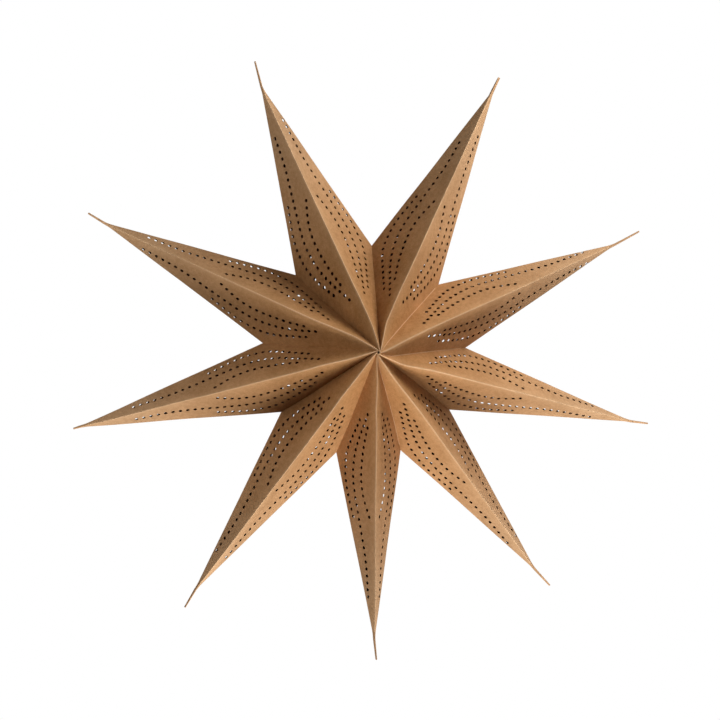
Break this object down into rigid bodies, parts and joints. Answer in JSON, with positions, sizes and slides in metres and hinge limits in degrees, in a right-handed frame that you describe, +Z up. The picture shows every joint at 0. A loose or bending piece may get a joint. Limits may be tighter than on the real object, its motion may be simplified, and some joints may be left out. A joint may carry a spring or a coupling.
{
  "type": "perforated paper star lantern",
  "caption": "Hanging star of folded kraft paper with hollow four-sided points, pinched tips and curved rows of punched holes.",
  "frame": {"origin": "the notch between the two upper points, where the star is closed and hung", "axes": "+Z up along the hanging line, star in the X-Z plane, face towards -Y"},
  "size_m": [0.5712, 0.1554, 0.5839],
  "materials": {
    "kraft_paper": "matte brown kraft paper, folded and glued"
  },
  "bodies": {
    "root": {"star_point_1": "kraft_paper", "star_point_2": "kraft_paper", "star_point_3": "kraft_paper", "star_point_4": "kraft_paper", "star_point_5": "kraft_paper", "star_point_6": "kraft_paper", "star_point_7": "kraft_paper", "star_point_8": "kraft_paper", "star_point_9": "kraft_paper"}
  },
  "joints": []
}
